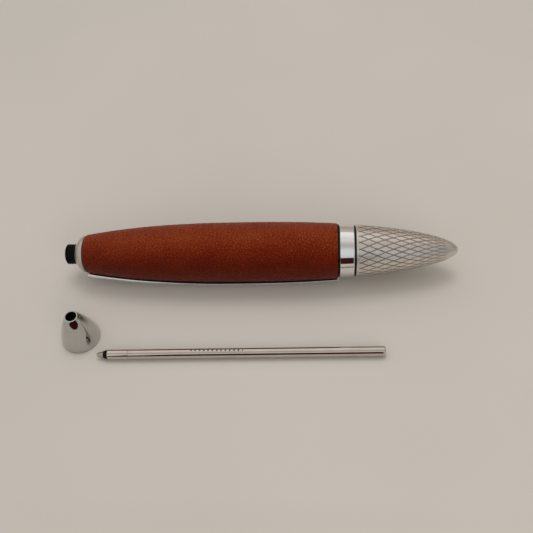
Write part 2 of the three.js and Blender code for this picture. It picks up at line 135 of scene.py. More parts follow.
def nose_place():
    """The nose cone's own X, from its wide end to its tip, stands straight up."""
    middle = centre("nose_cone")
    foot = Matrix.Translation((middle.x, middle.y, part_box("nose_cone")[0].z))
    return foot @ Matrix.Rotation(-TURN / 4, 4, "Y") @ Matrix.Scale(MM, 4)


def refill_place():
    """x = 0 is the tip of the refill, which lies a little askew on the table."""
    turn = Matrix.Rotation(math.radians(REFILL["yaw"]), 4, "Z")
    along = (TUBE_FRONT + REFILL["length"]) / 2 * MM
    tip = centre("refill_tube") - turn @ Vector((along, 0, 0))
    return Matrix.Translation(tip) @ turn @ Matrix.Scale(MM, 4)


# ---- Shapes -----------------------------------------------------------------------------------------------


def smooth_step(low, high, value):
    t = min(1, max(0, (value - low) / (high - low)))
    return t * t * (3 - 2 * t)


def spaced(low, high, count):
    """count + 1 numbers from low to high."""
    return [low + (high - low) * i / count for i in range(count + 1)]


def rounded(corners, steps=4, closed=False):
    """The (x, r) or (x, r, reach) corners, where a reach makes a curve that starts so far from the corner."""
    points = []
    last = len(corners) - 1
    for i, corner in enumerate(corners):
        here = Vector(corner[:2])
        reach = corner[2] if len(corner) > 2 else 0
        if not reach or (not closed and i in (0, last)):
            points.append(tuple(here))
            continue
        before = Vector(corners[i - 1][:2]) - here
        after = Vector(corners[(i + 1) % len(corners)][:2]) - here
        start = here + before.normalized() * min(reach, before.length * 0.48)
        end = here + after.normalized() * min(reach, after.length * 0.48)
        for t in spaced(0, 1, steps):
            points.append(tuple(start * (1 - t) ** 2 + here * 2 * t * (1 - t) + end * t * t))
    return points


def finish_mesh(name, vertices, faces, place, body, nodes, material):
    """Makes the piece, lets it ride on its body and stand for its CAD nodes.

    A vertex may have a fourth value, which says how deep in its pattern it is, from 0 to 1.
    """
    mesh = bpy.data.meshes.new(name)
    mesh.from_pydata([place @ Vector(v[:3]) for v in vertices], [], faces)
    depths = mesh.attributes.new(CUT, "FLOAT", "POINT")
    depths.data.foreach_set("value", [v[3] if len(v) > 3 else 0 for v in vertices])
    shape = bmesh.new()
    shape.from_mesh(mesh)
    bmesh.ops.remove_doubles(shape, verts=shape.verts, dist=1e-7)
    bmesh.ops.recalc_face_normals(shape, faces=shape.faces)
    shape.to_mesh(mesh)
    shape.free()
    mesh.shade_smooth()
    mesh.set_sharp_from_angle(angle=SHARP_EDGE)
    mesh.materials.append(material)
    piece = bpy.data.objects.new(name, mesh)
    bpy.context.scene.collection.objects.link(piece)
    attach(piece, body)
    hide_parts(*nodes)


def turned(profile, sides, relief=None, arc=None):
    """Vertices and faces of a closed (x, r) profile turned about X.

    relief(x, angle) says how far to drop the profile's points that carry True as a third value, and how deep
    in its pattern each one is, from 0 to 1. arc is the (first, last) angle of a piece that doesn't go all the
    way round; its two ends are closed.
    """
    first, last = arc or (0, TURN)
    count = sides if arc is None else sides + 1
    vertices = []
    for i in range(count):
        angle = first + (last - first) * i / sides
        c, s = math.cos(angle), math.sin(angle)
        for point in profile:
            r = point[1]
            deep = 0
            if relief and len(point) > 2:
                drop, deep = relief(point[0], angle)
                r -= drop
            vertices.append((point[0], r * c, r * s, deep))
    n = len(profile)
    faces = []
    for i in range(sides):
        a, b = i * n, (i + 1) % count * n
        for k in range(n):
            faces.append((a + k, a + (k + 1) % n, b + (k + 1) % n, b + k))
    if arc:
        faces.append(tuple(range(n)))
        faces.append(tuple(range((count - 1) * n, count * n)))
    return vertices, faces


def leather_radius(x):
    ahead = x < LEATHER["belly_x"]
    span = LEATHER["belly_x"] if ahead else LEATHER["length"] - LEATHER["belly_x"]
    end = LEATHER["front"] if ahead else LEATHER["rear"]
    t = min(1, abs(x - LEATHER["belly_x"]) / span)
    return LEATHER["belly"] - (LEATHER["belly"] - end) * t ** LEATHER["fullness"]


def tail_radius(x):
    t = min(1, max(0, (x - TAIL["front"]) / (TAIL["tip"] - TAIL["front"])))
    return TAIL["radius"] * math.sqrt(1 - t ** TAIL["sharpness"])


def nose_radius(h):
    return NOSE["base"] - (NOSE["base"] - NOSE["tip"]) * (h / NOSE["height"]) ** NOSE["bulge"]


# ---- Materials --------------------------------------------------------------------------------------------

CUT = "cut"  # a mesh attribute: how deep in its pattern a point is, from 0 to 1, which the chrome materials paint dark as painted shade


def new_material(name):
    material = bpy.data.materials.new(name)
    material.use_nodes = True
    return material, material.node_tree, material.node_tree.nodes["Principled BSDF"]


def add(tree, kind, inputs=None, **settings):
    """A node with its settings, and each input linked or set."""
    node = tree.nodes.new(kind)
    for key, value in settings.items():
        setattr(node, key, value)
    for key, value in (inputs or {}).items():
        if isinstance(value, bpy.types.NodeSocket):
            tree.links.new(value, node.inputs[key])
        else:
            node.inputs[key].default_value = value
    return node


def at(tree, per_mm):
    """A texture position: the piece's own place times so many units per millimetre along X, Y and Z."""
    where = add(tree, "ShaderNodeTexCoord").outputs["Object"]
    scale = [value / MM for value in per_mm]
    return add(tree, "ShaderNodeMapping", {"Vector": where, "Scale": scale}).outputs["Vector"]


def speckle(tree, per_mm, detail=3, roughness=0.55):
    where = at(tree, per_mm)
    inputs = {"Vector": where, "Scale": 1, "Detail": detail, "Roughness": roughness}
    return add(tree, "ShaderNodeTexNoise", inputs).outputs["Fac"]


def mapped(tree, value, low, high, to_low, to_high, **settings):
    inputs = {"Value": value, "From Min": low, "From Max": high, "To Min": to_low, "To Max": to_high}
    return add(tree, "ShaderNodeMapRange", inputs, **settings).outputs["Result"]


def math_node(tree, operation, a, b=0.0):
    return add(tree, "ShaderNodeMath", {0: a, 1: b}, operation=operation).outputs[0]


def ramp(tree, value, stops):
    """Colours by value, from (position, (r, g, b)) stops."""
    node = add(tree, "ShaderNodeValToRGB", {"Fac": value})
    elements = node.color_ramp.elements
    while len(elements) < len(stops):
        elements.new(0.5)
    for element, (position, colour) in zip(elements, stops):
        element.position = position
        element.color = (*colour, 1)
    return node.outputs["Color"]


def bump(tree, height, depth):
    """A normal from a height of 0 to 1 that stands for depth millimetres."""
    inputs = {"Height": height, "Strength": 1, "Distance": depth * MM}
    return add(tree, "ShaderNodeBump", inputs).outputs["Normal"]


def connect(tree, shader, **sockets):
    for name, value in sockets.items():
        tree.links.new(value, shader.inputs[name.replace("_", " ")])


def leather_material():
    """Cognac leather: pebbled grain, darker in its creases, with painted light: paler and yellower on its
    upper rear side, darker on its lower front.
    """
    material, tree, shader = new_material("cognac_leather")
    pebble = 1.6
    middle = centre("leather_sleeve") / MM
    place = add(tree, "ShaderNodeSeparateXYZ", {0: at(tree, (1, 1, 1))}).outputs
    # Painted light: the colour moves paler and yellower towards the upper rear and darker towards the lower
    # front.
    lit_side = math_node(tree, "SUBTRACT", math_node(tree, "ADD", place[1], place[2]), middle.y + middle.z)
    painted_light = mapped(tree, lit_side, *PAINTED_LIGHT_REACH, *PAINTED_LIGHT_TONE, interpolation_type="SMOOTHSTEP")
    cells = add(
        tree,
        "ShaderNodeTexVoronoi",
        {"Vector": at(tree, (pebble, pebble, pebble)), "Scale": 1, "Randomness": 1},
        feature="DISTANCE_TO_EDGE",
    ).outputs["Distance"]
    crease = mapped(tree, cells, 0, 0.16, 1, 0)
    mottle = mapped(tree, speckle(tree, (0.12, 0.2, 0.2), detail=5), 0.2, 0.8, 0.38, 0.62)
    pores = speckle(tree, (2.4, 2.4, 2.4), detail=2)
    shade = math_node(tree, "SUBTRACT", mottle, math_node(tree, "MULTIPLY", crease, 0.16))
    shade = math_node(tree, "ADD", shade, mapped(tree, pores, 0.35, 0.65, -0.05, 0.05))
    shade = math_node(tree, "ADD", shade, painted_light)
    colours = [
        (0.25, (0.093, 0.0014, 0.0001)),
        (0.5, (0.158, 0.0105, 0.0016)),
        (0.75, (0.236, 0.0350, 0.0086)),
    ]
    height = math_node(tree, "SUBTRACT", math_node(tree, "MULTIPLY", pores, 0.5), crease)
    shader.inputs["Specular IOR Level"].default_value = 0.4
    shader.inputs["Specular Tint"].default_value = (1, 0.5, 0.2, 1)
    connect(
        tree,
        shader,
        Base_Color=ramp(tree, shade, colours),
        Roughness=mapped(tree, pores, 0.35, 0.65, 0.56, 0.38),
        Normal=bump(tree, height, 0.14),
    )
    return material


def metal_material(name, colour, roughness, streaks, scratch=0.0006, smudge=0.05):
    """A metal of that colour, worn: smudges vary its gloss, and fine streaks follow the way it was finished.

    Where the mesh's CUT is 1, the metal is painted nearly black, as painted shade inside a bore.
    """
    material, tree, shader = new_material(name)
    shader.inputs["Metallic"].default_value = 1
    cloud = speckle(tree, (0.25, 0.25, 0.25), detail=4)
    lines = speckle(tree, streaks, detail=2)
    # Painted shade: where CUT is 1, the metal is painted nearly black.
    bare = add(tree, "ShaderNodeAttribute", attribute_name=CUT).outputs["Fac"]
    tone = math_node(tree, "SUBTRACT", cloud, bare)
    dark, low, high = [tuple(c * k for c in colour) for k in (0.06, 0.93, 1.0)]
    gloss = math_node(tree, "ADD", mapped(tree, cloud, 0.35, 0.7, -smudge, smudge), roughness)
    gloss = math_node(tree, "ADD", gloss, mapped(tree, lines, 0.3, 0.7, -smudge / 2, smudge / 2))
    connect(
        tree,
        shader,
        Base_Color=ramp(tree, tone, [(0, dark), (0.3, low), (0.65, high)]),
        Roughness=gloss,
        Normal=bump(tree, lines, scratch),
    )
    return material


def engraved_material():
    """Bright chrome with fine tooling lines over the lozenges, painted dark in the grooves as painted shade.
    """
    material, tree, shader = new_material("engraved_chrome")
    shader.inputs["Metallic"].default_value = 1
    hatch = add(
        tree,
        "ShaderNodeTexWave",
        {"Vector": at(tree, (1, 1, 1)), "Scale": 1.3, "Distortion": 1.5, "Detail": 2, "Detail Scale": 1.5},
        wave_type="BANDS",
        bands_direction="DIAGONAL",
    ).outputs["Fac"]
    cloud = speckle(tree, (0.3, 0.3, 0.3), detail=4)
    groove_shade = add(tree, "ShaderNodeAttribute", attribute_name=CUT).outputs["Fac"]
    # Painted shade: the grooves are painted dark by their depth.
    shade = math_node(tree, "SUBTRACT", mapped(tree, cloud, 0.3, 0.7, 0.85, 1), groove_shade)
    tones = [
        (0, (0.10, 0.07, 0.055)),
        (0.5, (0.35, 0.305, 0.275)),
        (0.82, (0.66, 0.615, 0.575)),
        (1, (0.72, 0.675, 0.63)),
    ]
    connect(
        tree,
        shader,
        Base_Color=ramp(tree, shade, tones),
        Roughness=mapped(tree, cloud, 0.3, 0.7, 0.16, 0.24),
        Normal=bump(tree, hatch, 0.02),
    )
    return material


def printed_tube_material():
    """Nickel silver, drawn along its length, with a row of plain ticks where such a refill has its print."""
    material, tree, shader = new_material("printed_nickel_silver")
    drawn = speckle(tree, (0.15, 6, 6), detail=3)
    cloud = speckle(tree, (0.3, 0.3, 0.3), detail=4)
    place = add(tree, "ShaderNodeSeparateXYZ", {0: at(tree, (1, 1, 1))}).outputs
    ticks = math_node(tree, "PINGPONG", place[0], PRINT["pitch"] / 2)
    marks = mapped(tree, ticks, *[PRINT["pitch"] * share for share in PRINT_EDGE], 1, 0)
    middle = centre("refill_tube") / MM
    tip = middle.x - (TUBE_FRONT + REFILL["length"]) / 2
    edges = (
        (0, "GREATER_THAN", tip + PRINT["front"]),
        (0, "LESS_THAN", tip + PRINT["rear"]),
        (1, "GREATER_THAN", middle.y + PRINT["low"]),
        (1, "LESS_THAN", middle.y + PRINT["high"]),
        (2, "GREATER_THAN", middle.z),
    )
    for axis, side, edge in edges:
        marks = math_node(tree, "MULTIPLY", marks, math_node(tree, side, place[axis], edge))
    ink = mapped(tree, speckle(tree, (4, 4, 4)), 0.4, 0.6, 0.75, 0.95)
    marks = math_node(tree, "MULTIPLY", marks, ink)
    metal = ramp(tree, cloud, [(0.3, (0.58, 0.52, 0.455)), (0.7, (0.66, 0.60, 0.535))])
    mix = add(tree, "ShaderNodeMixRGB", {"Fac": marks, "Color1": metal, "Color2": (0.02, 0.018, 0.016, 1)})
    bright = mapped(tree, marks, 0, 1, 1, 0)
    connect(
        tree,
        shader,
        Base_Color=mix.outputs[0],
        Metallic=bright,
        Roughness=mapped(tree, drawn, 0.3, 0.7, 0.07, 0.14),
        Normal=bump(tree, drawn, 0.0008),
    )
    return material


def plastic_material(name, dark, light, roughness, grain=0.003, gloss=0.4):
    """A moulded plastic or rubber: slightly uneven in colour and gloss, with a fine moulded grain."""
    material, tree, shader = new_material(name)
    shader.inputs["Specular IOR Level"].default_value = gloss
    cloud = speckle(tree, (0.4, 0.4, 0.4), detail=4)
    fine = speckle(tree, (7, 7, 7), detail=2)
    connect(
        tree,
        shader,
        Base_Color=ramp(tree, cloud, [(0.3, dark), (0.7, light)]),
        Roughness=mapped(tree, cloud, 0.3, 0.7, roughness - 0.06, roughness + 0.08),
        Normal=bump(tree, fine, grain),
    )
    return material


# ---- Barrel -----------------------------------------------------------------------------------------------


def clip_side():
    """The clip's angle about the pen's axis, from +Y towards +Z."""
    return math.radians(-90 - CLIP_FROM_DOWN)


def leather_relief(x, angle):
    """Pebbled grain in a gently uneven surface, a fold near each end and the glued seam under the clip."""
    r = leather_radius(x)
    where = Vector((x, r * math.cos(angle), r * math.sin(angle))) / GRAIN["cell"]
    near, next_near = noise.voronoi(where)[0][:2]
    crease = 1 - smooth_step(0, GRAIN["crease"], next_near - near)
    inside = smooth_step(0, GRAIN["edge"], x) * smooth_step(0, GRAIN["edge"], LEATHER["length"] - x)
    drop = GRAIN["depth"] * crease * (GRAIN["at_edge"] + (1 - GRAIN["at_edge"]) * inside)
    drop += GRAIN["swell"] * (noise.noise(where * 0.22) * 0.5 + 0.5)
    for fold, width, depth in FOLDS:
        drop += depth * math.exp(-(((x - fold) / width) ** 2))
    off_seam = math.remainder(angle - clip_side(), TURN) * r
    drop += SEAM["depth"] * math.exp(-((off_seam / SEAM["width"]) ** 2))
    return drop, crease


def leather_cover():
    """The sleeve with its two turned edges rounded, and its inside following the outside."""
    length = LEATHER["length"]
    front = [(x, leather_radius(0) - below) for x, below in LEATHER_FRONT_EDGE]
    outside = [(x, leather_radius(x), True) for x in spaced(LEATHER_EDGE, length - LEATHER_EDGE, 236)]
    rear = [(length - x, leather_radius(length) - below) for x, below in LEATHER_REAR_EDGE]
    inside = [(x, leather_radius(x) - LEATHER_WALL) for x in spaced(length, 0, 14)]
    return turned(front + outside + rear + inside, 370, leather_relief)


def thread_relief(x, angle):
    """A single-start V thread, rounded at its crests and fading out at both ends."""
    turns = (x - THREAD["front"]) / THREAD["pitch"] - angle / TURN
    wave = abs(math.remainder(turns, 1)) * 2
    cut = smooth_step(*THREAD_FLANK, wave)
    ends = smooth_step(THREAD["front"] - 0.2, THREAD["front"] + 0.05, x)
    ends *= 1 - smooth_step(THREAD["rear"] - 0.25, THREAD["rear"], x)
    return (STUB["radius"] - STUB["root"]) * cut * ends, cut * ends


def threaded_stub():
    """The thread, the shank through the collar and the plug in the barrel, with a hole through them all."""
    radius, front = STUB["radius"], STUB["front"]
    lead = rounded([(front, STUB["bore"] + 0.2), (front, 2.1, 0.12), (front + 0.25, radius - 0.03)])
    threads = [(x, radius - 0.02, True) for x in spaced(front + 0.27, THREAD["rear"], 66)]
    rear = rounded(
        [
            (THREAD["rear"] + 0.05, STUB["shank"]),
            (PLUG["front"], STUB["shank"]),
            (PLUG["front"], PLUG["radius"], 0.1),
            (PLUG["rear"], PLUG["radius"], 0.2),
            (PLUG["rear"], STUB["bore"] + 0.6),
            (PLUG["rear"] - 0.8, STUB["bore"]),
            (front + 0.2, STUB["bore"]),
        ]
    )
    return turned(lead + threads + rear, 96, thread_relief)


def domed_collar():
    front, rear, radius = COLLAR["front"], COLLAR["rear"], COLLAR["radius"]
    bore = STUB["shank"] + 0.05
    profile = rounded(
        [
            (front, bore),
            (front, COLLAR["nose"], 0.12),
            (rear - 1.25, radius - 0.48, 0.5),
            (rear - 0.5, radius, 0.4),
            (rear, radius, 0.12),
            (rear, COLLAR["neck"]),
            (COLLAR["neck_rear"], COLLAR["neck"]),
            (COLLAR["neck_rear"], bore),
        ],
        steps=6,
    )
    return turned(profile, 144)


def ring_profile(ring, edge):
    """A ring's section with its two outer edges rounded."""
    return rounded(
        [
            (ring["front"], ring["bore"]),
            (ring["front"], ring["radius"], edge),
            (ring["rear"], ring["radius"], edge),
            (ring["rear"], ring["bore"]),
        ]
    )


def clip_ring():
    """The spacer is open where the clip's leg passes through it."""
    half_gap = math.asin((CLIP["width"] / 2 + CLIP_CLEARANCE) / CLIP_RING["radius"])
    arc = (clip_side() + half_gap, clip_side() + TURN - half_gap)
    return turned(ring_profile(CLIP_RING, 0.08), 180, arc=arc)


def chrome_band():
    """A slightly tapering band with a narrow bright bevel along each edge."""
    front, rear, bevel = BAND["front"], BAND["rear"], 0.2
    profile = rounded(
        [
            (front, BAND["bore"]),
            (front, BAND["front_radius"] - bevel, 0.04),
            (front + bevel, BAND["front_radius"], 0.06),
            (rear - bevel, BAND["rear_radius"], 0.06),
            (rear, BAND["rear_radius"] - bevel, 0.04),
            (rear, BAND["bore"]),
        ]
    )
    return turned(profile, 192)


def tail_washer():
    return turned(ring_profile(TAIL_RING, 0.12), 144)


# ---- Tail -------------------------------------------------------------------------------------------------


def lozenge_relief(x, angle):
    """Two crossing families of V grooves, fading in behind the base and out before the tip."""
    r = max(tail_radius(x), 0.5)
    across = LOZENGES["around"] / (TURN * r)
    along = 1 / LOZENGES["length"]
    per_mm = math.hypot(across, along)
    turn = angle * LOZENGES["around"] / TURN + LOZENGES["phase"]
    reach = (x - LOZENGES["start"]) * along
    shown = smooth_step(*GROOVES_BEGIN, x) * (1 - smooth_step(*GROOVES_END, x))
    deepest = 0
    for phase in (turn + reach, turn - reach):
        off = abs(math.remainder(phase, 1)) / per_mm
        deepest = max(deepest, 1 - off / LOZENGES["half_width"])
    deep = shown * max(0, deepest) * min(1, r / GROOVES_SHALLOW)
    # The second value paints shade into the grooves, lighter towards the tip.
    pale = GROOVE_SHADE_FADE["share"] * smooth_step(GROOVE_SHADE_FADE["from"], GROOVE_SHADE_FADE["to"], x)
    return LOZENGES["depth"] * deep, deep * (1 - pale)


def tail_shell():
    """An ogive in rows and columns that the grooves cross from corner to corner."""
    front, tip, radius, wall = TAIL["front"], TAIL["tip"], TAIL["radius"], TAIL["wall"]
    per_lozenge = 18
    row = LOZENGES["length"] / per_lozenge
    first = LOZENGES["start"] - 3 * row
    rows = [first + row * i for i in range(int((tip - 0.9 - first) / row))]
    lip = rounded([(front, TAIL["bore"]), (front, radius - 0.2, 0.06), (front + 0.2, radius - 0.01)])
    tip_rows = [rows[-1] + (tip - rows[-1]) * math.sin(t) for t in spaced(0, TURN / 4, 12)][1:]
    outside = [(x, tail_radius(x), True) for x in rows] + [(x, tail_radius(x)) for x in tip_rows]
    rear, bore_rear = TAIL_INSIDE["rear"], TAIL_INSIDE["bore_rear"]
    hollow = [(x, tail_radius(x) - wall) for x in spaced(rear - 1.6, bore_rear + 0.05, 12)]
    inside = [(rear, 0.0)] + hollow + [(bore_rear, TAIL["bore"])]
    return turned(lip + outside + inside, LOZENGES["around"] * per_lozenge, lozenge_relief)


# ---- Clip -------------------------------------------------------------------------------------------------


def along_clip(values, x):
    """A measure of the clip at x, from its values at the front, in the middle and at the root."""
    t = 2 * (x - CLIP["front"]) / (CLIP["root"] - CLIP["front"])
    if t < 1:
        return values[0] + (values[1] - values[0]) * t
    return values[1] + (values[2] - values[1]) * (t - 1)


def clip_path():
    """Stations of the clip, front to leg, as (x, r, how far its outer face leans to the rear, thickness)."""
    leg_rear = CLIP["root"] + CLIP["leg"] / 2
    stations = []
    for x in spaced(CLIP["front"], leg_rear - CLIP_BEND["run"], 60):
        thickness = along_clip(CLIP_THICKNESS, x)
        stations.append((x, leather_radius(x) + along_clip(CLIP_GAP, x) + thickness / 2, 0, thickness))
    x, r, _, thickness = stations[-1]
    for t in spaced(0, 1, 8)[1:]:
        thin = thickness + (CLIP["leg"] - thickness) * t
        rise = (1 - t) ** 2 + 2 * t * (1 - t)
        run = 2 * t * (1 - t) + t * t
        drop = CLIP_BEND["drop"] * (1 - rise)
        stations.append((x + (CLIP["root"] - x) * run, r - drop, t * TURN / 4, thin))
    stations.append((CLIP["root"], CLIP["leg_inner"], TURN / 4, CLIP["leg"]))
    return stations


def clip_section(thickness, half_width):
    """The bar across: flat underneath, crowned on top, with rounded edges, as (across, out) points."""
    half = thickness / 2
    edge = min(0.28, thickness * 0.45)
    shoulder = half - edge * 0.5
    crown = half_width * 0.45
    corners = [
        (-half_width, -half, 0.08),
        (half_width, -half, 0.08),
        (half_width, shoulder, edge),
        (crown, half, 0.5),
        (-crown, half, 0.5),
        (-half_width, shoulder, edge),
    ]
    return rounded(corners, steps=4, closed=True)


def pocket_clip():
    """The bar swept along its path, its free end rounded off at the corners."""
    side = Matrix.Rotation(clip_side(), 4, "X")
    half = CLIP["width"] / 2
    stations = clip_path()
    front, r, _, thickness = stations[0]
    sections = [(front + back, r, 0, thickness * share, half - inset) for back, share, inset in CLIP_END]
    sections += [(*station, half) for station in stations[2:]]
    vertices, faces = [], []
    for x, r, slant, thickness, half_width in sections:
        for across, out in clip_section(thickness, half_width):
            point = Vector((x + out * math.sin(slant), r + out * math.cos(slant), across))
            vertices.append(side @ point)
    n = len(vertices) // len(sections)
    for i in range(len(sections) - 1):
        for k in range(n):
            a, b = i * n + k, i * n + (k + 1) % n
            faces.append((a, b, b + n, a + n))
    faces.append(tuple(range(n)))
    faces.append(tuple(range((len(sections) - 1) * n, len(sections) * n)))
    return vertices, faces


# ---- Nose cone --------------------------------------------------------------------------------------------


def bare_inside(_x, _angle):
    """The inside keeps its shape, and all of it is painted dark, as painted shade inside the bore."""
    return 0, 1


def nose_cone():
    """The flared cone with its polished rim, and inside it the seat of the thread insert, in painted shade.
    """
    height, tip, hole = NOSE["height"], NOSE["tip"], NOSE["hole"]
    seat = INSERT["radius"]
    outside = [(h, nose_radius(h)) for h in spaced(0.22, height - 0.16, 40)]
    base = rounded([(0, NOSE["mouth"]), (0, NOSE["base"] - 0.05, 0.12), outside[0]])
    unshaded = (NOSE_BORE["unshaded"], hole)
    rim = rounded([outside[-1], (height, tip - 0.02, 0.12), (height, hole, 0.08), unshaded])
    # All of the inside below the rim is painted dark, as painted shade inside the bore.
    inside = [
        (NOSE_BORE["bare"], hole, True),
        (NOSE_BORE["land"], hole, True),
        (INSERT["top"], NOSE["throat"], True),
        (INSERT["top"], seat, True),
        (INSERT["bottom"], seat, True),
        (NOSE_BORE["skirt"], NOSE["mouth"] - 0.05),
    ]
    return turned(base[:-1] + outside[:-1] + rim + inside, 160, bare_inside)


# ---- Refill -----------------------------------------------------------------------------------------------


def refill_point():
    """The writing point: a fine tip, a step at its shoulder and a shank in the sleeve, drilled through."""
    profile = rounded(
        [
            (POINT["front"], POINT["tip"], 0.05),
            (0.6, POINT["tip"] + 0.14, 0.15),
            (POINT["shoulder"], POINT["shoulder_radius"], 0.04),
            (POINT["shoulder"], POINT["shank"]),
            (POINT["rear"], POINT["shank"]),
            (POINT["rear"], 0.25),
            (0.8, 0.25),
            (0.75, 0.37),
            (POINT["front"], 0.35),
        ]
    )
    return turned(profile, 64)


def refill_adapter():
    """The black cone between the point and the front sleeve."""
    front, rear = ADAPTER["front"], ADAPTER["rear"]
    bore = POINT["shank"] + 0.05
    profile = rounded(
        [(front, bore), (front, ADAPTER["radius"], 0.04), (rear, REFILL["radius"] - 0.02, 0.05), (rear, bore)]
    )
    return turned(profile, 64)


def refill_sleeve():
    """The front sleeve, with a small rounded shoulder at the seam."""
    radius = REFILL["radius"]
    spigot = radius - REFILL["wall"] - 0.05
    bore = POINT["shank"] + 0.05
    front, rear, spigot_rear = SLEEVE["front"], SLEEVE["rear"], SLEEVE["spigot_rear"]
    profile = rounded(
        [
            (front, bore),
            (front, radius, 0.05),
            (rear, radius, 0.06),
            (rear, spigot),
            (spigot_rear, spigot),
            (spigot_rear, bore),
        ]
    )
    return turned(profile, 64)


def refill_tube():
    """The ink tube, crimped to a small vent at its rear end."""
    radius, rear = REFILL["radius"], REFILL["length"]
    bore = radius - REFILL["wall"]
    profile = rounded(
        [
            (TUBE_FRONT, bore),
            (TUBE_FRONT, radius, 0.06),
            (rear - 0.45, radius, 0.25),
            (rear - 0.1, radius - 0.12, 0.15),
            (rear, radius - 0.45, 0.1),
            (rear, 0.3, 0.05),
            (rear - 0.4, 0.3),
            (rear - 0.6, bore),
        ]
    )
    return turned(profile, 64)


# ---- Pieces and finishes ----------------------------------------------------------------------------------


def build_pieces():
    """Each piece with its place, body, CAD node, material and slot."""
    pen, nose, refill = pen_place(), nose_place(), refill_place()
    around = (30, 0.6, 0.6)
    chrome = metal_material("polished_chrome", (0.84, 0.84, 0.83), 0.07, around, smudge=0.03)
    nose_chrome = metal_material("nose_chrome", (0.55, 0.548, 0.53), 0.06, (0.6, 0.6, 20), smudge=0.02)
    clip_chrome = metal_material("clip_chrome", (0.76, 0.72, 0.68), 0.2, (0.4, 12, 12), smudge=0.04)
    satin = metal_material("satin_metal", (0.59, 0.54, 0.495), 0.42, around, scratch=0.004, smudge=0.06)
    point_metal = metal_material("point_metal", (0.50, 0.43, 0.35), 0.12, (6, 0.6, 0.6), scratch=0.001)
    drawn = (0.3, 8, 8)
    nickel = metal_material("nickel_silver", (0.66, 0.60, 0.53), 0.14, drawn, scratch=0.001, smudge=0.04)
    black = plastic_material("black_plastic", (0.003, 0.003, 0.003), (0.006, 0.006, 0.006), 0.42, gloss=0.08)
    engraved = engraved_material()
    printed = printed_tube_material()
    pieces = [
        ("leather_cover", leather_cover, pen, "barrel", "leather_sleeve", leather_material(), "leather"),
        ("threaded_stub", threaded_stub, pen, "barrel", "front_bush", black, "black_plastic"),
        ("domed_collar", domed_collar, pen, "barrel", "front_collar", satin, "satin_metal"),
        ("clip_spacer", clip_ring, pen, "barrel", "clip_ring", black, "black_plastic"),
        ("chrome_band", chrome_band, pen, "barrel", "center_band", chrome, "polished_chrome"),
        ("tail_joint_ring", tail_washer, pen, "barrel", "tail_washer", black, "black_plastic"),
        ("engraved_tail", tail_shell, pen, "tail", "tail_shell", engraved, "engraved_chrome"),
        ("clip_bar", pocket_clip, pen, "clip", "pocket_clip", clip_chrome, "polished_chrome"),
        ("bored_nose_cone", nose_cone, nose, "nose", "nose_cone", nose_chrome, "nose_chrome"),
        ("writing_point", refill_point, refill, "refill", "refill_point", point_metal, "nickel_silver"),
        ("point_adapter", refill_adapter, refill, "refill", "refill_adapter", black, "black_plastic"),
        ("front_ink_sleeve", refill_sleeve, refill, "refill", "refill_sleeve", nickel, "nickel_silver"),
        ("ink_tube", refill_tube, refill, "refill", "refill_tube", printed, "nickel_silver"),
    ]
    for name, build, place, body, node, material, slot in pieces:
        vertices, faces = build()
        finish_mesh(name, vertices, faces, place, body, [node], material)


def finish_hidden_nodes():
    """Materials for the CAD nodes that stay as they are, inside the barrel, the nose cone and the refill."""
    brass = metal_material("turned_brass", (0.72, 0.52, 0.24), 0.26, (12, 0.6, 0.6), scratch=0.003)
    steel = metal_material("spring_steel", (0.60, 0.59, 0.57), 0.24, (12, 0.6, 0.6), scratch=0.002)
    white = plastic_material("white_plastic", (0.62, 0.61, 0.58), (0.72, 0.71, 0.68), 0.45)
    rubber = plastic_material("rubber", (0.010, 0.010, 0.010), (0.022, 0.022, 0.022), 0.75, grain=0.01)
    ink = plastic_material("ink", (0.003, 0.004, 0.016), (0.006, 0.008, 0.030), 0.3)
    finishes = {
        "barrel_tube": brass,
        "mechanism_nut": brass,
        "mechanism_housing": brass,
        "tail_bush": brass,
        "cam_sleeve": brass,
        "nose_insert": brass,
        "rear_bush": steel,
        "retaining_clip": steel,
        "cam_pin": steel,
        "refill_ball": steel,
        "refill_guide": white,
        "refill_carrier": white,
        "friction_oring": rubber,
        "refill_ink": ink,
    }
    for node, material in finishes.items():
        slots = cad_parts[node].data.materials
        slots.clear()
        slots.append(material)


# ---- Table, light and camera ------------------------------------------------------------------------------

ROOM_STOPS = [  # colours from the horizon in front (0) over the zenith (0.5) to the horizon behind (1)
    (0.0, (0.50, 0.50, 0.49)),
    (0.12, (0.58, 0.60, 0.60)),
    (0.155, (0.61, 0.65, 0.65)),
    (0.22, (0.68, 0.72, 0.735)),
    (0.30, (0.67, 0.71, 0.725)),
    (0.365, (0.52, 0.52, 0.54)),
    (0.42, (0.46, 0.45, 0.43)),
    (0.47, (0.56, 0.53, 0.50)),
    (0.52, (0.71, 0.68, 0.66)),
    (0.58, (0.73, 0.70, 0.67)),
    (0.70, (0.91, 0.89, 0.87)),
    (0.765, (0.90, 0.88, 0.86)),
    (0.78, (0.54, 0.49, 0.43)),
    (0.87, (0.44, 0.385, 0.34)),
    (1.0, (0.36, 0.305, 0.26)),
]
BACKDROP = (0.62, 0.58, 0.54)
WARM_TINT = (1.0, 0.965, 0.925)
WARM_SIDE = (0.1, 0.35)  # how far to the right, from 0 to 1, the room turns warm, and then dim
DIM_SIDE = (0.35, 0.8)
DIMMEST = 0.62
DIFFUSE_SHARE = 0.93  # of the room's light that falls on matt surfaces
LIGHTS = (  # name, place, size in metres, power in watts, colour
    ("key", (0.0, 0.3, 0.8), (0.4, 0.3), 1.5, (1, 0.985, 0.96)),
    ("overhead", (0.05, 0.02, 0.8), (0.5, 0.5), 0.65, (1, 0.98, 0.95)),
    ("fill", (0.35, -0.6, 0.35), (0.5, 0.4), 1.2, (1, 0.87, 0.72)),
)
BOARD = {"y": -48, "corners": ((-60, 3.5), (36, 3.5), (36, 31), (-32, 31))}  # (x, z), in millimetres
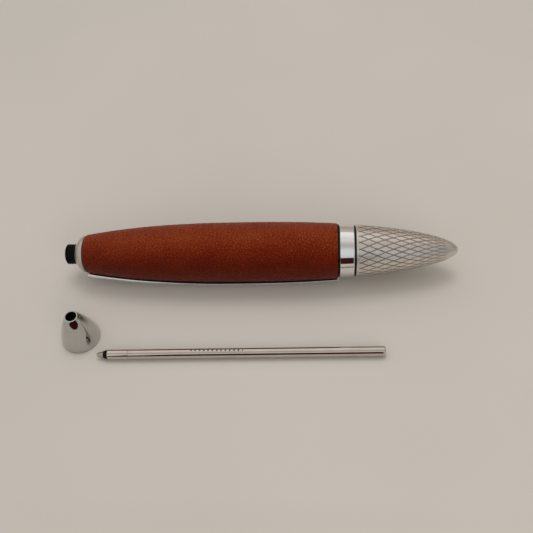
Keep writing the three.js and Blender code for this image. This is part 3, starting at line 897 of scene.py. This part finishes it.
CAMERA = {
    "place": (0.01471, -0.096005, 0.14101),
    "elevation": 52.718,
    "heading": -7.193,
    "roll": -6.34,
    "lens": 47.28,
    "shift": 0.0006,
}


def table_top():
    half = 2.0
    mesh = bpy.data.meshes.new("table_top")
    corners = [(-half, -half, 0), (half, -half, 0), (half, half, 0), (-half, half, 0)]
    mesh.from_pydata(corners, [], [(0, 1, 2, 3)])
    material, tree, shader = new_material("pale_table")
    cloud = speckle(tree, (0.012, 0.012, 0.012), detail=2)
    fine = speckle(tree, (1.2, 1.2, 1.2), detail=2)
    connect(
        tree,
        shader,
        Base_Color=ramp(tree, cloud, [(0.35, (0.558, 0.527, 0.484)), (0.65, (0.588, 0.552, 0.512))]),
        Roughness=mapped(tree, cloud, 0.3, 0.7, 0.55, 0.62),
        Normal=bump(tree, fine, 0.004),
    )
    mesh.materials.append(material)
    table = bpy.data.objects.new("table_top", mesh)
    bpy.context.scene.collection.objects.link(table)


def area_light(name, place, size, power, colour):
    """A soft light aimed at the middle of the object, kept out of the reflections in its polished metal."""
    data = bpy.data.lights.new(name, "AREA")
    data.shape = "RECTANGLE"
    data.size, data.size_y = size
    data.energy = power
    data.color = colour
    light = bpy.data.objects.new(name, data)
    toward = -Vector(place)
    light.matrix_world = Matrix.Translation(place) @ toward.to_track_quat("-Z", "Y").to_matrix().to_4x4()
    light.visible_glossy = False
    bpy.context.scene.collection.objects.link(light)


def room_light():
    """A soft room, brightest high up behind, warmer and dimmer to the right, that the metal reflects.

    The camera itself sees a plain pale backdrop.
    """
    world = bpy.data.worlds.new("soft_room")
    world.use_nodes = True
    bpy.context.scene.world = world
    tree = world.node_tree
    tree.nodes.clear()
    toward = add(tree, "ShaderNodeTexCoord").outputs["Generated"]
    x, y, z = add(tree, "ShaderNodeSeparateXYZ", {0: toward}).outputs
    over = math_node(tree, "ARCTAN2", z, math_node(tree, "MULTIPLY", y, -1.0))
    share = math_node(tree, "DIVIDE", over, math.pi)
    room = ramp(tree, share, ROOM_STOPS)
    warmer = {"Fac": mapped(tree, x, *WARM_SIDE, 0, 1), "Color1": room, "Color2": (*WARM_TINT, 1)}
    room = add(tree, "ShaderNodeMixRGB", warmer, blend_type="MULTIPLY").outputs[0]
    ray = add(tree, "ShaderNodeLightPath").outputs
    strength = mapped(tree, x, *DIM_SIDE, 1, DIMMEST)
    on_matt = mapped(tree, ray["Is Diffuse Ray"], 0, 1, 1, DIFFUSE_SHARE)
    strength = math_node(tree, "MULTIPLY", strength, on_matt)
    shown = add(tree, "ShaderNodeBackground", {"Color": (*BACKDROP, 1), "Strength": 1.0})
    lit = add(tree, "ShaderNodeBackground", {"Color": room, "Strength": strength})
    mix = add(tree, "ShaderNodeMixShader", {0: ray["Is Camera Ray"], 1: lit.outputs[0], 2: shown.outputs[0]})
    add(tree, "ShaderNodeOutputWorld", {0: mix.outputs[0]})


def dark_board():
    """A maroon board in front of the refill that shows only as the dark streak along polished metal."""
    mesh = bpy.data.meshes.new("dark_board")
    corners = [(x * MM, BOARD["y"] * MM, z * MM) for x, z in BOARD["corners"]]
    mesh.from_pydata(corners, [], [(0, 1, 2, 3)])
    material, tree, shader = new_material("dark_board")
    cloud = speckle(tree, (0.02, 0.02, 0.02), detail=2)
    shader.inputs["Base Color"].default_value = (0.01, 0.002, 0.001, 1)
    shader.inputs["Specular IOR Level"].default_value = 0
    shader.inputs["Emission Strength"].default_value = 1
    maroon = [(0.3, (0.026, 0.005, 0.004)), (0.7, (0.038, 0.008, 0.006))]
    connect(tree, shader, Emission_Color=ramp(tree, cloud, maroon))
    mesh.materials.append(material)
    board = bpy.data.objects.new("dark_board", mesh)
    bpy.context.scene.collection.objects.link(board)
    board.visible_camera = False
    board.visible_diffuse = False
    board.visible_shadow = False


def camera():
    """Above the table and in front of the pen, turned a little to the side and rolled as the picture is."""
    elevation, heading, roll = [math.radians(CAMERA[angle]) for angle in ("elevation", "heading", "roll")]
    ahead = math.cos(elevation)
    forward = Vector((math.sin(heading) * ahead, math.cos(heading) * ahead, -math.sin(elevation)))
    level = Vector((math.cos(heading), -math.sin(heading), 0))
    upright = level.cross(forward)
    right = level * math.cos(roll) + upright * math.sin(roll)
    up = upright * math.cos(roll) - level * math.sin(roll)
    data = bpy.data.cameras.new("camera")
    data.sensor_width = 36
    data.lens = CAMERA["lens"]
    data.shift_x = CAMERA["shift"]
    data.clip_start = 0.005
    camera_object = bpy.data.objects.new("camera", data)
    turn = Matrix((right, up, -forward)).transposed().to_4x4()
    camera_object.matrix_world = Matrix.Translation(CAMERA["place"]) @ turn
    bpy.context.scene.collection.objects.link(camera_object)
    bpy.context.scene.camera = camera_object


build_pieces()
finish_hidden_nodes()
table_top()
dark_board()
room_light()
for light in LIGHTS:
    area_light(*light)
camera()

bpy.context.scene.view_settings.view_transform = "Standard"
